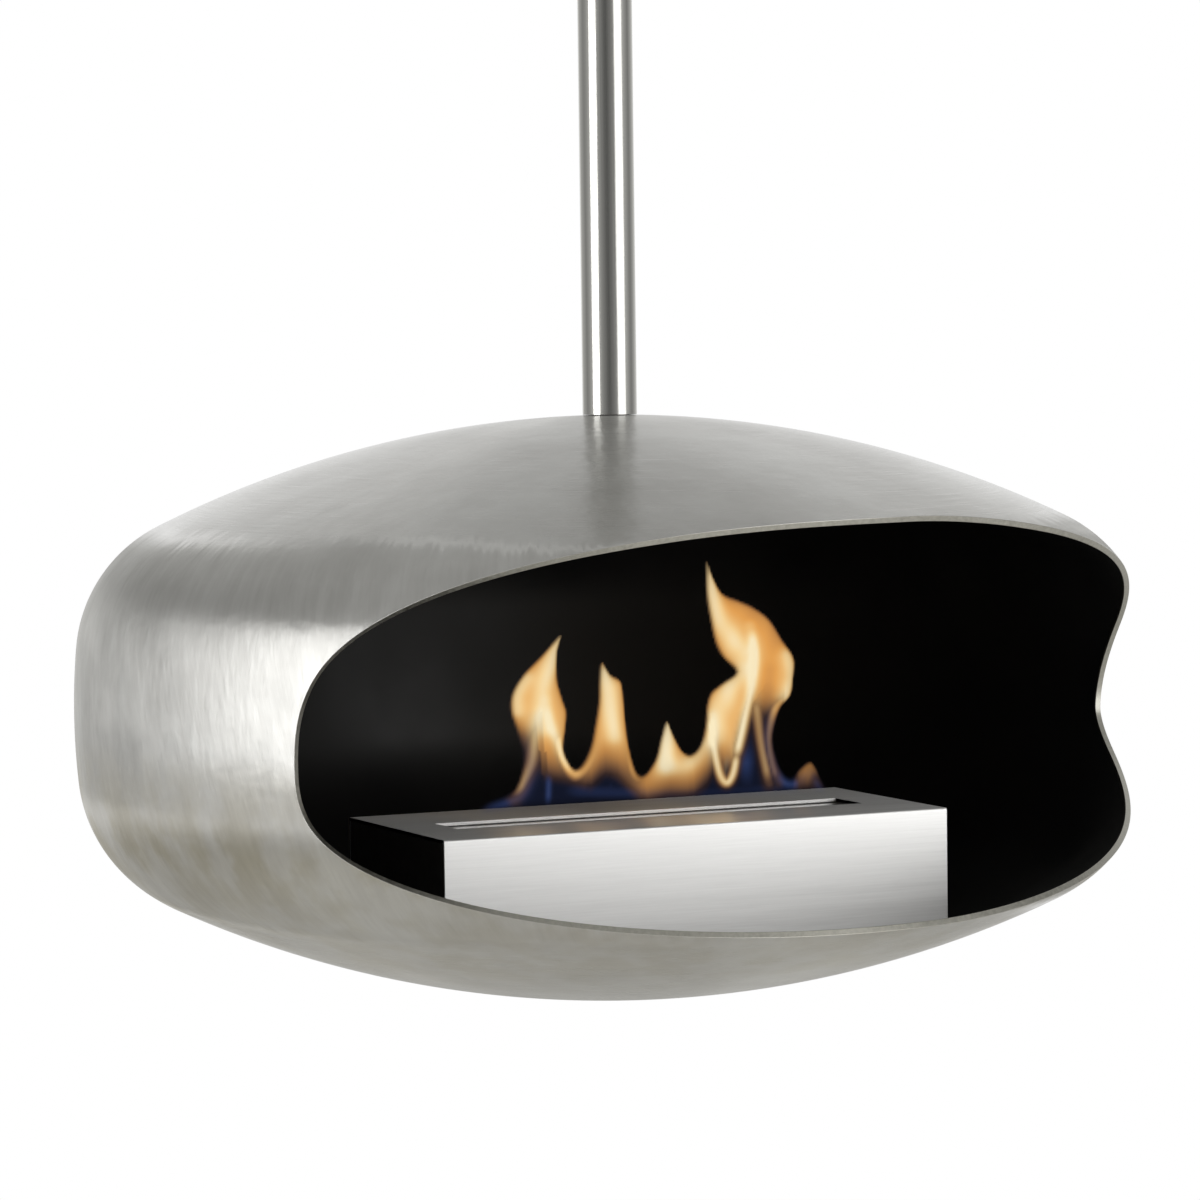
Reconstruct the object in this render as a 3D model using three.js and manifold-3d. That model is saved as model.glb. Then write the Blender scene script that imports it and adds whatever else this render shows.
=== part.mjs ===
// Hanging fireplace: a flattened round steel body with a wide side opening, on a
// ceiling pole, with a slotted liquid-fuel burner standing inside.
// Millimetres, +Z up. The origin is the centre of the ceiling plate's top face,
// on the pole's axis. The burner's long front faces -Y.
import * as THREE from 'three';
import { mergeVertices } from 'three/addons/utils/BufferGeometryUtils.js';
import Module from 'manifold-3d';

const wasm = await Module();
wasm.setup();

// ---- driving dimensions ----
const GAP = 0.3;                      // between neighbouring pieces

const PLATE_RADIUS = 65;              // ceiling plate
const PLATE_THICK = 10;
const ANCHOR_CIRCLE = 90;             // ceiling anchor holes
const ANCHOR_HOLE = 9;
const ANCHOR_COUNT = 4;
const SPINDLE_DIAMETER = 20;          // fixed spindle the pole turns on
const SPINDLE_SOCKET = 7;             // depth of the spindle's seat in the plate
const SPINDLE_END = -84;
const SPINDLE_CLEARANCE = 0.08;       // radial, between spindle and hub

const COVER_RADIUS = 70;              // ceiling cover, a cup with a hole for the pole
const COVER_WALL = 1.5;
const COVER_HEIGHT = 60;
const COVER_SCREWS = 3;
const COVER_SCREW_Z = -5;
const COVER_SCREW_DIAMETER = 4;
const COVER_SCREW_HEAD = 7;
const COVER_SCREW_HEAD_HEIGHT = 2.2;
const COVER_SCREW_DEPTH = 6;          // into the plate's edge
const COVER_HOLE_PLAY = 0.8;          // round the pole

const POLE_DIAMETER = 50.8;           // two inch stainless tube
const POLE_WALL = 1.5;
const POLE_TOP = -18;
const POLE_EXPOSED = 1000;            // from the cover down to the body
const HUB_TOP = -25;
const HUB_HEIGHT = 30;
const HUB_SCREWS = 3;
const HUB_SCREW_DIAMETER = 6;
const HUB_SCREW_HEAD = 10;
const HUB_SCREW_HEAD_HEIGHT = 3;
const HUB_SCREW_DEPTH = 7;            // in from the tube's inside
const WASHER_RADIUS = 21;
const WASHER_THICK = 4;
const NUT_ACROSS_FLATS = 30;
const NUT_HEIGHT = 16;

const BODY_RADIUS = 500;              // outside of the shell at its equator
const CROWN_RADIUS = 956;             // top and bottom domes
const CROWN_ANGLE = 26.17;            // where the dome meets the shoulder arc
const SHOULDER_RADIUS = 136;
const SHOULDER_ANGLE = 84.5;          // where the shoulder meets the flank arc
const SHELL_THICK = 2;
const LINER_OFFSET = 4;               // from the outside of the shell
const LINER_THICK = 1.5;
const SPACER_RADIUS = 75;
const CROWN_PLATE_RADIUS = 80;
const CROWN_PLATE_THICK = 6;
const CROWN_BOLTS = 3;
const CROWN_BOLT_CIRCLE = 28;
const CROWN_BOLT_DIAMETER = 8;
const CROWN_BOLT_HEAD = 13;           // across flats
const CROWN_BOLT_HEAD_HEIGHT = 5.3;
const CROWN_BOLT_REACH = 26;          // above the body, into the pole's plug
const CROWN_HOLE_REACH = 30;          // either side of the crown
const PLUG_HEIGHT = 40;

const OPENING_CENTRE = 15.7;          // degrees from -Y towards +X
const OPENING_LEFT = 73.5;            // angle from the centre to the left end
const OPENING_RIGHT = 68.0;
const OPENING_LEVEL = -22.5;          // height of the ends over the equator
const OPENING_UP = 206;
const OPENING_DOWN = 147;
const CORNER_POWERS = [1.9, 2.7, 2.51, 1.71];  // roundness of the four corners
const RIM_WIDTH = 2.5;                // edge band around the opening

const BURNER_LENGTH = 504;
const BURNER_DEPTH = 221;
const BURNER_HEIGHT = 110;
const BURNER_Y = -72.6;
const BURNER_TOP = -96;               // from the body's equator
const BURNER_SHEET = 3;
const SLOT_LENGTH = 411;
const SLOT_WIDTH = 52;
const SLOT_Y = -79.6;
const SHUTTER_THICK = 2.5;
const SHUTTER_LIP = 3;                // what shows of the open shutter in the slot
const SHUTTER_DEPTH = 72;
const SHUTTER_DROP = 1.5;             // gap under the top sheet
const SHUTTER_HALF = 221;
const GUIDE_WIDTH = 13.5;
const GUIDE_GROOVE = 5.8;
const GUIDE_LIP = 2.5;                // under the groove
const GUIDE_AHEAD = 60;               // of the open shutter's front edge
const GUIDE_BEHIND = 3;               // the open shutter's back edge
const TANK_LENGTH = 428;
const TANK_DEPTH = 74;
const TANK_WALL = 2;
const TANK_LIP = 5;
const TANK_TOP = -110;
const PAD_HEIGHT = 55;
const RAIL_X = 150;
const RAIL_WEB = 4;
const RAIL_FLANGE = 24;
const RAIL_LENGTH = 200;
const RAIL_DROP = 60;                 // the web is cut off at the bowl

const BODY_SEGMENTS = 48;
const LINER_SEGMENTS = 36;
const RIM_SAMPLES = 84;
const ROUND = 32;

// ---- body profile: crown, shoulder and flank arcs, the same above and below ----
const rad = THREE.MathUtils.degToRad;
const crownEnd = rad(CROWN_ANGLE);
const shoulderEnd = rad(SHOULDER_ANGLE);
const shoulderR = (CROWN_RADIUS - SHOULDER_RADIUS) * Math.sin(crownEnd);
const flankRadius = (BODY_RADIUS - shoulderR - SHOULDER_RADIUS * Math.sin(shoulderEnd))
  / (1 - Math.sin(shoulderEnd));
const shoulderZ = (flankRadius - SHOULDER_RADIUS) * Math.cos(shoulderEnd);
const crownZ = shoulderZ + (SHOULDER_RADIUS - CROWN_RADIUS) * Math.cos(crownEnd);
const bodyHalf = crownZ + CROWN_RADIUS;
const bodyTop = -COVER_HEIGHT - POLE_EXPOSED;
const bodyZ = bodyTop - bodyHalf;

// Point of the profile where its normal leans by angle from +Z, moved in by offset.
function profilePoint(angle, offset) {
  const a = Math.min(angle, Math.PI - angle);
  let r = BODY_RADIUS - flankRadius;
  let z = 0;
  let radius = flankRadius;
  if (a < crownEnd) {
    [r, z, radius] = [0, crownZ, CROWN_RADIUS];
  } else if (a < shoulderEnd) {
    [r, z, radius] = [shoulderR, shoulderZ, SHOULDER_RADIUS];
  }
  const side = angle > Math.PI / 2 ? -1 : 1;
  return new THREE.Vector2(
    r + (radius - offset) * Math.sin(a),
    side * (z + (radius - offset) * Math.cos(a)),
  );
}

// Angle of the profile's normal at height z over the equator.
function profileAngle(z) {
  const up = Math.abs(z);
  let a = Math.acos(Math.min(1, up / flankRadius));
  if (up > crownZ + CROWN_RADIUS * Math.cos(crownEnd)) {
    a = Math.acos((up - crownZ) / CROWN_RADIUS);
  } else if (up > shoulderZ + SHOULDER_RADIUS * Math.cos(shoulderEnd)) {
    a = Math.acos((up - shoulderZ) / SHOULDER_RADIUS);
  }
  return z < 0 ? Math.PI - a : a;
}

function surfacePoint(turn, z, offset) {
  const p = profilePoint(profileAngle(z), offset);
  return new THREE.Vector3(p.x * Math.sin(turn), -p.x * Math.cos(turn), p.y);
}

// ---- closed meshes and booleans ----
function toSolid(geometry) {
  const bare = geometry.clone();
  bare.deleteAttribute('normal');
  bare.deleteAttribute('uv');
  const merged = mergeVertices(bare, 1e-4);
  return new wasm.Manifold(new wasm.Mesh({
    numProp: 3,
    vertProperties: new Float32Array(merged.attributes.position.array),
    triVerts: new Uint32Array(merged.index.array),
  }));
}

function toGeometry(solid) {
  const mesh = solid.getMesh();
  const geometry = new THREE.BufferGeometry();
  geometry.setAttribute('position', new THREE.BufferAttribute(mesh.vertProperties, 3));
  geometry.setIndex(new THREE.BufferAttribute(mesh.triVerts, 1));
  geometry.computeVertexNormals();
  return geometry;
}

function cut(geometry, ...tools) {
  return toGeometry(tools.reduce((s, t) => s.subtract(toSolid(t)), toSolid(geometry)));
}

function join(geometry, ...others) {
  return toGeometry(others.reduce((s, t) => s.add(toSolid(t)), toSolid(geometry)));
}

function box(x, y, z, at = [0, 0, 0]) {
  return new THREE.BoxGeometry(x, y, z).translate(...at);
}

// Upright cylinder between two heights.
function rod(diameter, low, high, x = 0, y = 0, sides = ROUND) {
  return new THREE.CylinderGeometry(diameter / 2, diameter / 2, high - low, sides)
    .rotateX(Math.PI / 2)
    .translate(x, y, (low + high) / 2);
}

function hexagon(flats, low, high, x = 0, y = 0) {
  return rod(flats / Math.cos(Math.PI / 6), low, high, x, y, 6);
}

// Cylinder lying along a radius, from r0 to r1, at the given turn and height.
function spoke(diameter, r0, r1, turn, z, sides = 16) {
  return new THREE.CylinderGeometry(diameter / 2, diameter / 2, r1 - r0, sides)
    .translate(0, (r0 + r1) / 2, 0)
    .rotateZ(turn)
    .translate(0, 0, z);
}

function lathe(points, segments) {
  return new THREE.LatheGeometry(points, segments).rotateX(Math.PI / 2);
}

function around(count, make) {
  return Array.from({ length: count }, (_, i) => make((i * 2 * Math.PI) / count, i));
}

// ---- the body's layers ----
const crownShares = [0, 0.09, 0.19, 0.44, 0.72];
const shoulderSteps = 5;
const flankSteps = 2;

function profileAngles() {
  const list = crownShares.map((share) => share * crownEnd);
  for (let i = 0; i < shoulderSteps; i += 1) {
    list.push(crownEnd + ((shoulderEnd - crownEnd) * i) / shoulderSteps);
  }
  for (let i = 0; i <= flankSteps; i += 1) {
    list.push(shoulderEnd + ((Math.PI - 2 * shoulderEnd) * i) / flankSteps);
  }
  const below = list.filter((a) => a < shoulderEnd).map((a) => Math.PI - a).reverse();
  return [...list, ...below];
}

// Closed layer of the body between two offsets from its outside.
function bodyLayer(outer, inner, segments) {
  const angles = profileAngles();
  const outside = angles.map((a) => profilePoint(a, outer));
  const inside = angles.map((a) => profilePoint(a, inner)).reverse();
  const ring = [...outside, ...inside];
  ring.forEach((p) => { if (Math.abs(p.x) < 1e-6) p.x = 0; });
  return lathe([...ring.reverse(), ring[0].clone()], segments);
}

// Shallow domed disc that follows the crown, between two offsets.
function crownDisc(radius, outer, inner) {
  const steps = 2;
  const points = [];
  for (let i = 0; i <= steps; i += 1) {
    points.push(profilePoint((i / steps) * Math.asin(radius / (CROWN_RADIUS - inner)), inner));
  }
  for (let i = steps; i >= 0; i -= 1) {
    points.push(profilePoint((i / steps) * Math.asin(radius / (CROWN_RADIUS - outer)), outer));
  }
  points[0].x = 0;
  points[points.length - 1].x = 0;
  return lathe(points, ROUND);
}

// ---- the opening: four rounded corners meeting in one smooth loop ----
function openingAt(phi, share) {
  const c = Math.cos(phi);
  const s = Math.sin(phi);
  const corner = s >= 0 ? (c >= 0 ? 0 : 1) : (c < 0 ? 2 : 3);
  const power = 2 / CORNER_POWERS[corner];
  const width = c >= 0 ? OPENING_RIGHT : OPENING_LEFT;
  const height = s >= 0 ? OPENING_UP : OPENING_DOWN;
  const turn = OPENING_CENTRE + share * width * Math.sign(c) * Math.abs(c) ** power;
  const z = OPENING_LEVEL + share * height * Math.sign(s) * Math.abs(s) ** power;
  return [rad(turn), z];
}

// Evenly spaced positions around the loop.
function openingSteps() {
  const fine = 1440;
  const lengths = [0];
  let last = surfacePoint(...openingAt(0, 1), 0);
  for (let i = 1; i <= fine; i += 1) {
    const next = surfacePoint(...openingAt((i * 2 * Math.PI) / fine, 1), 0);
    lengths.push(lengths[i - 1] + next.distanceTo(last));
    last = next;
  }
  const steps = [];
  let k = 0;
  for (let i = 0; i < RIM_SAMPLES; i += 1) {
    const want = (lengths[fine] * i) / RIM_SAMPLES;
    while (lengths[k + 1] < want) k += 1;
    const part = (want - lengths[k]) / (lengths[k + 1] - lengths[k]);
    steps.push(((k + part) * 2 * Math.PI) / fine);
  }
  return steps;
}

// Closed plug through the wall, shaped like the opening and grown by grow.
function openingCutter(grow) {
  const steps = openingSteps();
  const shares = [0.25, 0.5, 0.75, 0.93];
  const faces = [12, -18];
  const positions = [];
  const index = [];
  const edge = steps.map((phi) => surfacePoint(...openingAt(phi, 1), 0));
  const ringStart = [];
  faces.forEach((lift) => {
    const start = positions.length / 3;
    ringStart.push(start);
    positions.push(...surfacePoint(...openingAt(0, 0), -lift).toArray());
    shares.forEach((share) => {
      steps.forEach((phi) => {
        positions.push(...surfacePoint(...openingAt(phi, share), -lift).toArray());
      });
    });
    steps.forEach((phi, i) => {
      const along = edge[(i + 1) % RIM_SAMPLES].clone()
        .sub(edge[(i + RIM_SAMPLES - 1) % RIM_SAMPLES]).normalize();
      const outward = surfacePoint(...openingAt(phi, 1), -1).sub(edge[i]).normalize();
      const away = along.clone().cross(outward).normalize();
      const p = edge[i].clone().addScaledVector(away, grow).addScaledVector(outward, lift);
      positions.push(...p.toArray());
    });
  });
  const rings = shares.length + 1;
  ringStart.forEach((start, side) => {
    const push = (a, b, c) => (side === 0 ? index.push(a, b, c) : index.push(a, c, b));
    for (let i = 0; i < RIM_SAMPLES; i += 1) {
      const j = (i + 1) % RIM_SAMPLES;
      push(start, start + 1 + i, start + 1 + j);
      for (let k = 1; k < rings; k += 1) {
        const inner = start + 1 + (k - 1) * RIM_SAMPLES;
        const outer = inner + RIM_SAMPLES;
        push(inner + i, outer + i, outer + j);
        push(inner + i, outer + j, inner + j);
      }
    }
  });
  const top = ringStart[0] + 1 + (rings - 1) * RIM_SAMPLES;
  const low = ringStart[1] + 1 + (rings - 1) * RIM_SAMPLES;
  for (let i = 0; i < RIM_SAMPLES; i += 1) {
    const j = (i + 1) % RIM_SAMPLES;
    index.push(top + i, low + i, low + j);
    index.push(top + i, low + j, top + j);
  }
  const geometry = new THREE.BufferGeometry();
  geometry.setAttribute('position', new THREE.Float32BufferAttribute(positions, 3));
  geometry.setIndex(index);
  return geometry;
}

// ---- materials ----
function steel(color, roughness, metalness = 1) {
  return new THREE.MeshStandardMaterial({ color, roughness, metalness });
}

const finishes = {
  polished: () => steel(0xb9b7ae, 0.3),
  brushed: () => steel(0xc4c2bc, 0.34),
  edge: () => steel(0x8f8e88, 0.4),
  black: () => steel(0x0b0b0b, 0.8, 0.2),
  dark: () => steel(0x4a4743, 0.45),
  plain: () => steel(0x9a9b9d, 0.5),
  wool: () => steel(0xd9d4c8, 1, 0),
};

const fireplace = new THREE.Group();
fireplace.name = 'hanging_fireplace';

function add(parent, name, geometry, finish) {
  const mesh = new THREE.Mesh(geometry, finishes[finish]());
  mesh.name = name;
  parent.add(mesh);
  return mesh;
}

// ---- ceiling group ----
function ceilingPlate() {
  const disc = rod(PLATE_RADIUS * 2, -PLATE_THICK, 0, 0, 0, 48);
  const holes = around(ANCHOR_COUNT, (a) => rod(
    ANCHOR_HOLE, -PLATE_THICK - 1, 1,
    (ANCHOR_CIRCLE / 2) * Math.cos(a + Math.PI / 4),
    (ANCHOR_CIRCLE / 2) * Math.sin(a + Math.PI / 4), 16,
  ));
  const socket = rod(SPINDLE_DIAMETER + 2 * GAP, -PLATE_THICK - 1, SPINDLE_SOCKET - PLATE_THICK);
  const sockets = around(COVER_SCREWS, (a) => spoke(
    COVER_SCREW_DIAMETER + 2 * GAP, PLATE_RADIUS - COVER_SCREW_DEPTH - 2, PLATE_RADIUS + 2,
    a, COVER_SCREW_Z, 12,
  ));
  return cut(disc, socket, ...holes, ...sockets);
}

function ceilingCover() {
  const top = -GAP;
  const low = -COVER_HEIGHT;
  const inner = COVER_RADIUS - COVER_WALL;
  const hole = POLE_DIAMETER / 2 + COVER_HOLE_PLAY;
  const bend = 4;
  const points = [new THREE.Vector2(hole, low)];
  for (let i = 0; i <= 4; i += 1) {
    const a = (i / 4) * (Math.PI / 2);
    points.push(new THREE.Vector2(
      COVER_RADIUS - bend + bend * Math.sin(a),
      low + bend - bend * Math.cos(a),
    ));
  }
  points.push(new THREE.Vector2(COVER_RADIUS, top));
  points.push(new THREE.Vector2(inner, top));
  points.push(new THREE.Vector2(inner, low + bend));
  points.push(new THREE.Vector2(inner - bend + COVER_WALL, low + COVER_WALL));
  points.push(new THREE.Vector2(hole, low + COVER_WALL));
  points.push(points[0].clone());
  const cup = lathe(points, 48);
  const holes = around(COVER_SCREWS, (a) => spoke(
    COVER_SCREW_DIAMETER + 2 * GAP, inner - 2, COVER_RADIUS + 2, a, COVER_SCREW_Z, 12,
  ));
  return cut(cup, ...holes);
}

function radialScrew(diameter, head, headHeight, tip, seat, turn, z) {
  const shank = spoke(diameter, tip, seat + 1, turn, z, 12);
  return join(shank, spoke(head, seat, seat + headHeight, turn, z));
}

function hangingNut() {
  const top = HUB_TOP - HUB_HEIGHT - WASHER_THICK - 2 * GAP;
  const low = top - NUT_HEIGHT;
  return cut(
    hexagon(NUT_ACROSS_FLATS, low, top),
    rod(SPINDLE_DIAMETER + 2 * GAP, low - 1, top + 1),
  );
}

const ceiling = new THREE.Group();
fireplace.add(ceiling);
add(ceiling, 'ceiling_plate', ceilingPlate(), 'plain');
add(ceiling, 'spindle', rod(
  SPINDLE_DIAMETER, SPINDLE_END, SPINDLE_SOCKET - PLATE_THICK - GAP,
), 'plain');
add(ceiling, 'thrust_washer', cut(
  rod(WASHER_RADIUS * 2, -WASHER_THICK, 0),
  rod(SPINDLE_DIAMETER + 2 * GAP, -WASHER_THICK - 1, 1),
), 'plain').position.z = HUB_TOP - HUB_HEIGHT - GAP;
add(ceiling, 'spindle_nut', hangingNut(), 'plain');
add(ceiling, 'ceiling_cover', ceilingCover(), 'brushed');
around(COVER_SCREWS, (a, i) => add(ceiling, `cover_screw_${i + 1}`, radialScrew(
  COVER_SCREW_DIAMETER, COVER_SCREW_HEAD, COVER_SCREW_HEAD_HEIGHT,
  PLATE_RADIUS - COVER_SCREW_DEPTH, COVER_RADIUS + GAP, a, COVER_SCREW_Z,
), 'plain'));

// ---- pole ----
const poleInner = POLE_DIAMETER - 2 * POLE_WALL;
const hubScrewZ = HUB_TOP - HUB_HEIGHT / 2;
const poleBottom = bodyTop + GAP;

function poleTube() {
  const tube = rod(POLE_DIAMETER, poleBottom, POLE_TOP, 0, 0, 48);
  const holes = around(HUB_SCREWS, (a) => spoke(
    HUB_SCREW_DIAMETER + 2 * GAP, poleInner / 2 - 3, POLE_DIAMETER / 2 + 3, a, hubScrewZ, 12,
  ));
  return cut(tube, rod(poleInner, poleBottom - 1, POLE_TOP + 1, 0, 0, 48), ...holes);
}

function poleHub() {
  const ring = rod(poleInner - 2 * GAP, HUB_TOP - HUB_HEIGHT, HUB_TOP, 0, 0, 48);
  const bore = rod(
    SPINDLE_DIAMETER + 2 * SPINDLE_CLEARANCE, HUB_TOP - HUB_HEIGHT - 1, HUB_TOP + 1,
  );
  const sockets = around(HUB_SCREWS, (a) => spoke(
    HUB_SCREW_DIAMETER + 2 * GAP, poleInner / 2 - HUB_SCREW_DEPTH - 2, poleInner / 2 + 3,
    a, hubScrewZ, 12,
  ));
  return cut(ring, bore, ...sockets);
}

const boltTurns = around(CROWN_BOLTS, (a) => [
  (CROWN_BOLT_CIRCLE / 2) * Math.cos(a + Math.PI / 2),
  (CROWN_BOLT_CIRCLE / 2) * Math.sin(a + Math.PI / 2),
]);

function boltHoles(low, high) {
  return boltTurns.map(([x, y]) => rod(
    CROWN_BOLT_DIAMETER + 2 * GAP, low, high, x, y, 16,
  ));
}

// The same holes right through the body's crown, in its own frame.
function crownHoles() {
  return boltHoles(bodyHalf - CROWN_HOLE_REACH, bodyHalf + CROWN_HOLE_REACH);
}

const pole = new THREE.Group();
fireplace.add(pole);
add(pole, 'pole_tube', poleTube(), 'brushed');
add(pole, 'pole_hub', poleHub(), 'plain');
around(HUB_SCREWS, (a, i) => add(pole, `hub_screw_${i + 1}`, radialScrew(
  HUB_SCREW_DIAMETER, HUB_SCREW_HEAD, HUB_SCREW_HEAD_HEIGHT,
  poleInner / 2 - HUB_SCREW_DEPTH, POLE_DIAMETER / 2 + GAP, a, hubScrewZ,
), 'plain'));
add(pole, 'pole_plug', cut(
  rod(poleInner - 2 * GAP, poleBottom, poleBottom + PLUG_HEIGHT, 0, 0, 48),
  ...boltHoles(poleBottom - 1, poleBottom + CROWN_BOLT_REACH + 3),
), 'plain');

// ---- body ----
const body = new THREE.Group();
body.position.z = bodyZ;
fireplace.add(body);

function shellWall(outer, inner, segments) {
  return cut(bodyLayer(outer, inner, segments), openingCutter(RIM_WIDTH + GAP), ...crownHoles());
}

function rimBand() {
  const wall = toSolid(bodyLayer(0, LINER_OFFSET + LINER_THICK, BODY_SEGMENTS));
  const ring = toSolid(openingCutter(RIM_WIDTH)).subtract(toSolid(openingCutter(0)));
  return toGeometry(wall.intersect(ring));
}

// Everything inside the body, up to an offset from its outside.
function bodyInside(offset, segments) {
  const points = profileAngles().map((a) => profilePoint(a, offset)).reverse();
  points[0].x = 0;
  points[points.length - 1].x = 0;
  return lathe(points, segments);
}

// Bracket under the burner: a web cut to the bowl's curve, with a flat flange on top.
function cradleRail(side) {
  const top = BURNER_TOP - BURNER_HEIGHT - GAP;
  const x = side * RAIL_X;
  const web = box(RAIL_WEB, RAIL_LENGTH, RAIL_DROP, [x, BURNER_Y, top - RAIL_DROP / 2]);
  const flange = box(RAIL_FLANGE, RAIL_LENGTH, RAIL_WEB, [x, BURNER_Y, top - RAIL_WEB / 2]);
  const inside = bodyInside(LINER_OFFSET + LINER_THICK + GAP, LINER_SEGMENTS);
  return toGeometry(toSolid(join(web, flange)).intersect(toSolid(inside)));
}

add(body, 'outer_shell', shellWall(0, SHELL_THICK, BODY_SEGMENTS), 'polished');
add(body, 'inner_liner', shellWall(
  LINER_OFFSET, LINER_OFFSET + LINER_THICK, LINER_SEGMENTS,
), 'black');
add(body, 'rim_band', rimBand(), 'edge');
add(body, 'crown_spacer', cut(
  crownDisc(SPACER_RADIUS, SHELL_THICK + GAP, LINER_OFFSET - GAP), ...crownHoles(),
), 'plain');
const crownPlateOffset = LINER_OFFSET + LINER_THICK + GAP;
add(body, 'crown_plate', cut(
  crownDisc(CROWN_PLATE_RADIUS, crownPlateOffset, crownPlateOffset + CROWN_PLATE_THICK),
  ...crownHoles(),
), 'black');
const boltSeat = bodyHalf - crownPlateOffset - CROWN_PLATE_THICK - 2 * GAP;
boltTurns.forEach(([x, y], i) => {
  add(body, `crown_bolt_${i + 1}`, join(
    rod(CROWN_BOLT_DIAMETER, boltSeat - 1, bodyHalf + CROWN_BOLT_REACH, 0, 0, 16),
    hexagon(CROWN_BOLT_HEAD, boltSeat - CROWN_BOLT_HEAD_HEIGHT, boltSeat),
  ), 'plain').position.set(x, y, 0);
});
add(body, 'cradle_rail_left', cradleRail(-1), 'black');
add(body, 'cradle_rail_right', cradleRail(1), 'black');

// ---- burner ----
const burner = new THREE.Group();
burner.position.set(0, 0, bodyZ);
fireplace.add(burner);
const burnerLow = BURNER_TOP - BURNER_HEIGHT;
const insideDepth = BURNER_DEPTH - 2 * (BURNER_SHEET + GAP);

// Sheet folded down at the front and the back, with the flame slot in its top.
function burnerCasing() {
  const y0 = -BURNER_DEPTH / 2;
  const y1 = BURNER_DEPTH / 2;
  const t = BURNER_SHEET;
  const bend = 2;
  const shape = new THREE.Shape();
  shape.moveTo(y0, burnerLow);
  shape.lineTo(y0, BURNER_TOP - bend);
  shape.absarc(y0 + bend, BURNER_TOP - bend, bend, Math.PI, Math.PI / 2, true);
  shape.lineTo(y1 - bend, BURNER_TOP);
  shape.absarc(y1 - bend, BURNER_TOP - bend, bend, Math.PI / 2, 0, true);
  shape.lineTo(y1, burnerLow);
  shape.lineTo(y1 - t, burnerLow);
  shape.lineTo(y1 - t, BURNER_TOP - t);
  shape.lineTo(y0 + t, BURNER_TOP - t);
  shape.lineTo(y0 + t, burnerLow);
  shape.closePath();
  const folded = new THREE.ExtrudeGeometry(shape, {
    depth: BURNER_LENGTH, bevelEnabled: false, curveSegments: 4,
  })
    .translate(0, 0, -BURNER_LENGTH / 2)
    .rotateX(Math.PI / 2)
    .rotateZ(Math.PI / 2);
  return cut(folded, box(SLOT_LENGTH, SLOT_WIDTH, 20, [0, SLOT_Y - BURNER_Y, BURNER_TOP]));
}

function fuelTank() {
  const low = burnerLow + BURNER_SHEET + GAP;
  const height = TANK_TOP - low;
  const trough = join(
    box(TANK_LENGTH, TANK_DEPTH, height, [0, 0, low + height / 2]),
    box(TANK_LENGTH, TANK_DEPTH + 2 * TANK_LIP, TANK_WALL, [0, 0, TANK_TOP - TANK_WALL / 2]),
  );
  const hollow = box(
    TANK_LENGTH - 2 * TANK_WALL, TANK_DEPTH - 2 * TANK_WALL, height,
    [0, 0, low + TANK_WALL + height / 2],
  );
  return cut(trough, hollow);
}

const shutterTop = BURNER_TOP - BURNER_SHEET - SHUTTER_DROP;
const shutterFront = SLOT_Y + SLOT_WIDTH / 2 - SHUTTER_LIP;

// Grooved bar that carries one end of the sliding shutter.
function shutterGuide(side) {
  const top = BURNER_TOP - BURNER_SHEET - GAP;
  const low = shutterTop - SHUTTER_THICK - GAP - GUIDE_LIP;
  const y0 = shutterFront - GUIDE_AHEAD;
  const y1 = shutterFront + SHUTTER_DEPTH + GUIDE_BEHIND;
  const x = side * (SHUTTER_HALF + GAP - GUIDE_GROOVE + GUIDE_WIDTH / 2);
  const bar = box(GUIDE_WIDTH, y1 - y0, top - low, [x, (y0 + y1) / 2, (top + low) / 2]);
  const groove = box(
    GUIDE_GROOVE * 2, y1 - y0 + 2, SHUTTER_THICK + 2 * GAP,
    [side * (SHUTTER_HALF + GAP - GUIDE_GROOVE), (y0 + y1) / 2, shutterTop - SHUTTER_THICK / 2],
  );
  return cut(bar, groove);
}

add(burner, 'burner_casing', burnerCasing(), 'brushed').position.y = BURNER_Y;
[[-1, 'left'], [1, 'right']].forEach(([side, word]) => {
  add(burner, `burner_end_${word}`, box(
    BURNER_SHEET, insideDepth, BURNER_HEIGHT - BURNER_SHEET - GAP,
  ), 'dark').position.set(
    side * (BURNER_LENGTH / 2 - BURNER_SHEET / 2), BURNER_Y,
    burnerLow + (BURNER_HEIGHT - BURNER_SHEET - GAP) / 2,
  );
  add(burner, `shutter_guide_${word}`, shutterGuide(side), 'plain');
});
add(burner, 'burner_base', box(
  BURNER_LENGTH - 2 * (BURNER_SHEET + GAP), insideDepth, BURNER_SHEET,
), 'dark').position.set(0, BURNER_Y, burnerLow + BURNER_SHEET / 2);
add(burner, 'fuel_tank', fuelTank(), 'dark').position.y = SLOT_Y;
add(burner, 'wool_pad', box(
  TANK_LENGTH - 2 * TANK_WALL - 2 * GAP, TANK_DEPTH - 2 * TANK_WALL - 2 * GAP, PAD_HEIGHT,
), 'wool').position.set(
  0, SLOT_Y, burnerLow + BURNER_SHEET + TANK_WALL + 2 * GAP + PAD_HEIGHT / 2,
);
add(burner, 'shutter', box(
  2 * SHUTTER_HALF, SHUTTER_DEPTH, SHUTTER_THICK,
  [0, shutterFront + SHUTTER_DEPTH / 2, shutterTop - SHUTTER_THICK / 2],
), 'brushed');

export default fireplace;
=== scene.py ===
"""Hanging fireplace: finish, smooth sheet metal, flames, lights and camera."""

import math

import bpy
import numpy as np
from mathutils import Matrix, Vector


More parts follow.
